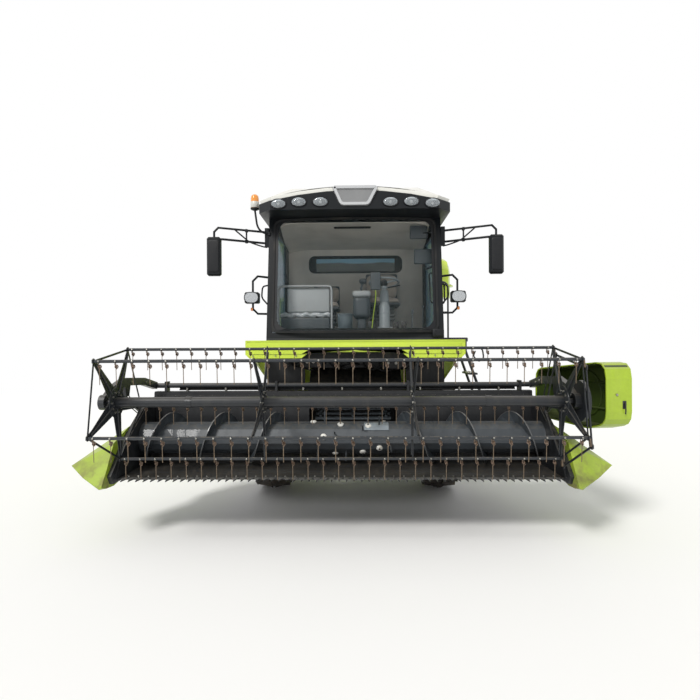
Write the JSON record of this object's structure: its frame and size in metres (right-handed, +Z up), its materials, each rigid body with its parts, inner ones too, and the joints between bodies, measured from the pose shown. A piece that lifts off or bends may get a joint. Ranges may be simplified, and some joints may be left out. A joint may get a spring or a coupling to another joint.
{
  "type": "combine harvester",
  "caption": "Self-propelled grain harvester with a front cutting header, tined reel, cross auger, glazed cab, open grain tank and swinging unloading tube.",
  "frame": {"origin": "on the ground under the middle of the machine's outline", "axes": "+Z up, the machine faces -Y with its header in front, its left side is +X"},
  "size_m": [5.643, 8.2988, 3.9249],
  "materials": {
    "lime_paint": "satin lime-green paint",
    "anthracite_paint": "satin dark grey paint",
    "black_frame": "satin black paint",
    "cream_roof": "gloss cream paint",
    "tinted_glass": "clear, lightly tinted",
    "worn_steel": "worn bare steel",
    "tine_steel": "weathered spring steel",
    "tyre": "black rubber",
    "rim_paint": "light grey paint",
    "chrome_rod": "hard chrome",
    "cast_iron": "dark cast iron",
    "seat_fabric": "dark woven cover",
    "black_plastic": "grained black plastic"
  },
  "bodies": {
    "chassis": {"front_axle": "anthracite_paint", "rear_axle": "anthracite_paint", "main_frame": "anthracite_paint", "thresher_body": "lime_paint", "straw_hood": "lime_paint", "grain_tank": "lime_paint", "engine_block": "cast_iron", "engine_hood": "lime_paint", "cab_frame": "black_frame", "cab_visor": "black_frame", "cab_roof": "cream_roof", "windshield": "tinted_glass", "side_glass_right": "tinted_glass", "platform_ladder": "anthracite_paint", "fascia": "lime_paint", "mirror_left": "black_frame", "mirror_right": "black_frame", "driver_seat": "seat_fabric", "passenger_seat": "seat_fabric", "steering_column": "black_plastic"},
    "front_wheel_left": {"tyre_front_left": "tyre", "rim_front_left": "rim_paint"},
    "front_wheel_right": {"tyre_front_right": "tyre", "rim_front_right": "rim_paint"},
    "rear_wheel_left": {"tyre_rear_left": "tyre", "rim_rear_left": "rim_paint"},
    "rear_wheel_right": {"tyre_rear_right": "tyre", "rim_rear_right": "rim_paint"},
    "steering_knuckle_left": {"knuckle_left": "anthracite_paint"},
    "steering_knuckle_right": {"knuckle_right": "anthracite_paint"},
    "door": {"cab_door": "black_frame", "door_glass": "tinted_glass"},
    "left_service_door": {"service_door_left": "lime_paint"},
    "right_service_door": {"service_door_right": "lime_paint"},
    "unloader": {"unload_tube": "lime_paint"},
    "header": {"feeder_house": "anthracite_paint", "header_frame": "anthracite_paint", "divider_left": "lime_paint", "divider_right": "lime_paint", "cutterbar": "worn_steel"},
    "cover": {"drive_cover": "lime_paint"},
    "auger": {"header_auger": "worn_steel"},
    "arms": {"reel_arms": "anthracite_paint"},
    "reel": {"reel_core": "anthracite_paint"},
    "eccentric": {"reel_eccentric": "anthracite_paint"},
    "lift_barrel_left": {"lift_cylinder_left_barrel": "anthracite_paint"},
    "lift_rod_left": {"lift_cylinder_left_rod": "chrome_rod"},
    "lift_barrel_right": {"lift_cylinder_right_barrel": "anthracite_paint"},
    "lift_rod_right": {"lift_cylinder_right_rod": "chrome_rod"},
    "reel_barrel_left": {"reel_cylinder_left_barrel": "anthracite_paint"},
    "reel_rod_left": {"reel_cylinder_left_rod": "chrome_rod"},
    "reel_barrel_right": {"reel_cylinder_right_barrel": "anthracite_paint"},
    "reel_rod_right": {"reel_cylinder_right_rod": "chrome_rod"},
    "tine_bar_1": {"tine_bar_1": "tine_steel"},
    "tine_bar_2": {"tine_bar_2": "tine_steel"},
    "tine_bar_3": {"tine_bar_3": "tine_steel"},
    "tine_bar_4": {"tine_bar_4": "tine_steel"},
    "tine_bar_5": {"tine_bar_5": "tine_steel"}
  },
  "joints": [
    {"name": "wheel_front_left", "type": "hinge", "parent": "chassis", "child": "front_wheel_left", "pos_m": [1.25376, -1.25657, 0.7499], "axis": [1, 0, 0], "continuous": true},
    {"name": "wheel_front_right", "type": "hinge", "parent": "chassis", "child": "front_wheel_right", "pos_m": [-1.04624, -1.25657, 0.7499], "axis": [1, 0, 0], "continuous": true},
    {"name": "steer_left", "type": "hinge", "parent": "chassis", "child": "steering_knuckle_left", "pos_m": [0.86376, 2.34343, 0.5499], "axis": [0, 0, 1], "range_deg": [-30, 30]},
    {"name": "steer_right", "type": "hinge", "parent": "chassis", "child": "steering_knuckle_right", "pos_m": [-0.65624, 2.34343, 0.5499], "axis": [0, 0, 1], "range_deg": [-30, 30]},
    {"name": "wheel_rear_left", "type": "hinge", "parent": "steering_knuckle_left", "child": "rear_wheel_left", "pos_m": [1.11376, 2.34343, 0.5499], "axis": [1, 0, 0], "continuous": true},
    {"name": "wheel_rear_right", "type": "hinge", "parent": "steering_knuckle_right", "child": "rear_wheel_right", "pos_m": [-0.90624, 2.34343, 0.5499], "axis": [1, 0, 0], "continuous": true},
    {"name": "cab_door_hinge", "type": "hinge", "parent": "chassis", "child": "door", "pos_m": [1.18376, -0.91687, 2.1649], "axis": [0, 0, 1], "range_deg": [0, 75]},
    {"name": "service_door_left", "type": "hinge", "parent": "chassis", "child": "left_service_door", "pos_m": [1.34376, 2.69343, 2.7396], "axis": [0, -1, 0], "range_deg": [0, 80]},
    {"name": "service_door_right", "type": "hinge", "parent": "chassis", "child": "right_service_door", "pos_m": [-1.13624, 2.69343, 2.7396], "axis": [0, 1, 0], "range_deg": [0, 80]},
    {"name": "unload_swing", "type": "hinge", "parent": "chassis", "child": "unloader", "pos_m": [1.56376, 0.19343, 3.0199], "axis": [0, 0, -1], "range_deg": [0, 100]},
    {"name": "feeder_lift", "type": "hinge", "parent": "chassis", "child": "header", "pos_m": [0.10376, -1.05657, 1.5999], "axis": [-1, 0, 0], "range_deg": [-13.5, 8]},
    {"name": "cover_hinge", "type": "hinge", "parent": "header", "child": "cover", "pos_m": [2.35376, -2.12657, 1.1249], "axis": [0, 0, 1], "range_deg": [-8, 70]},
    {"name": "auger_spin", "type": "hinge", "parent": "header", "child": "auger", "pos_m": [-0.05624, -2.70657, 0.9499], "axis": [1, 0, 0], "continuous": true},
    {"name": "reel_lift", "type": "hinge", "parent": "header", "child": "arms", "pos_m": [-0.05624, -2.34457, 1.5249], "axis": [-1, 0, 0], "range_deg": [0, 20]},
    {"name": "reel_spin", "type": "hinge", "parent": "arms", "child": "reel", "pos_m": [-0.05624, -3.58657, 1.4469], "axis": [1, 0, 0], "continuous": true},
    {"name": "eccentric_spin", "type": "hinge", "parent": "arms", "child": "eccentric", "pos_m": [-0.05624, -3.60657, 1.3719], "axis": [1, 0, 0], "continuous": true},
    {"name": "tine_bar_1_swing", "type": "hinge", "parent": "reel", "child": "tine_bar_1", "pos_m": [-0.05624, -3.99811, 1.85843], "axis": [1, 0, 0], "continuous": true},
    {"name": "tine_bar_2_swing", "type": "hinge", "parent": "reel", "child": "tine_bar_2", "pos_m": [-0.05624, -4.10514, 1.18267], "axis": [1, 0, 0], "continuous": true},
    {"name": "tine_bar_3_swing", "type": "hinge", "parent": "reel", "child": "tine_bar_3", "pos_m": [-0.05624, -3.49553, 0.87206], "axis": [1, 0, 0], "continuous": true},
    {"name": "tine_bar_4_swing", "type": "hinge", "parent": "reel", "child": "tine_bar_4", "pos_m": [-0.05624, -3.01174, 1.35585], "axis": [1, 0, 0], "continuous": true},
    {"name": "tine_bar_5_swing", "type": "hinge", "parent": "reel", "child": "tine_bar_5", "pos_m": [-0.05624, -3.32235, 1.96546], "axis": [1, 0, 0], "continuous": true},
    {"name": "lift_cylinder_left_hinge", "type": "hinge", "parent": "chassis", "child": "lift_barrel_left", "pos_m": [0.75176, -1.10657, 0.3999], "axis": [-1, 0, 0], "range_deg": [-8.5, 5.3]},
    {"name": "lift_cylinder_left_slide", "type": "slide", "parent": "lift_barrel_left", "child": "lift_rod_left", "axis": [0, -0.9212, 0.389], "range_m": [-0.275, 0.165]},
    {"name": "reel_cylinder_left_hinge", "type": "hinge", "parent": "header", "child": "reel_barrel_left", "pos_m": [2.30376, -2.55657, 1.2199], "axis": [-1, 0, 0], "range_deg": [-1, 21]},
    {"name": "reel_cylinder_left_slide", "type": "slide", "parent": "reel_barrel_left", "child": "reel_rod_left", "axis": [0, -0.8912, 0.4537], "range_m": [-0.005, 0.135]},
    {"name": "lift_cylinder_right_hinge", "type": "hinge", "parent": "chassis", "child": "lift_barrel_right", "pos_m": [-0.54424, -1.10657, 0.3999], "axis": [-1, 0, 0], "range_deg": [-8.5, 5.3]},
    {"name": "lift_cylinder_right_slide", "type": "slide", "parent": "lift_barrel_right", "child": "lift_rod_right", "axis": [0, -0.9212, 0.389], "range_m": [-0.275, 0.165]},
    {"name": "reel_cylinder_right_hinge", "type": "hinge", "parent": "header", "child": "reel_barrel_right", "pos_m": [-2.41624, -2.55657, 1.2199], "axis": [-1, 0, 0], "range_deg": [-1, 21]},
    {"name": "reel_cylinder_right_slide", "type": "slide", "parent": "reel_barrel_right", "child": "reel_rod_right", "axis": [0, -0.8912, 0.4537], "range_m": [-0.005, 0.135]}
  ],
  "couplings": [
    {"joint": "steer_right", "follows": "steer_left", "ratio": 1},
    {"joint": "eccentric_spin", "follows": "reel_spin", "ratio": 1},
    {"joint": "tine_bar_1_swing", "follows": "reel_spin", "ratio": -1},
    {"joint": "tine_bar_2_swing", "follows": "reel_spin", "ratio": -1},
    {"joint": "tine_bar_3_swing", "follows": "reel_spin", "ratio": -1},
    {"joint": "tine_bar_4_swing", "follows": "reel_spin", "ratio": -1},
    {"joint": "tine_bar_5_swing", "follows": "reel_spin", "ratio": -1},
    {"joint": "lift_cylinder_left_hinge", "follows": "feeder_lift", "ratio": 0.5837},
    {"joint": "lift_cylinder_left_slide", "follows": "feeder_lift", "m_per_rad": 1.1388},
    {"joint": "reel_cylinder_left_hinge", "follows": "reel_lift", "ratio": 0.993},
    {"joint": "reel_cylinder_left_slide", "follows": "reel_lift", "m_per_rad": 0.37},
    {"joint": "lift_cylinder_right_hinge", "follows": "feeder_lift", "ratio": 0.5837},
    {"joint": "lift_cylinder_right_slide", "follows": "feeder_lift", "m_per_rad": 1.1388},
    {"joint": "reel_cylinder_right_hinge", "follows": "reel_lift", "ratio": 0.993},
    {"joint": "reel_cylinder_right_slide", "follows": "reel_lift", "m_per_rad": 0.37}
  ]
}
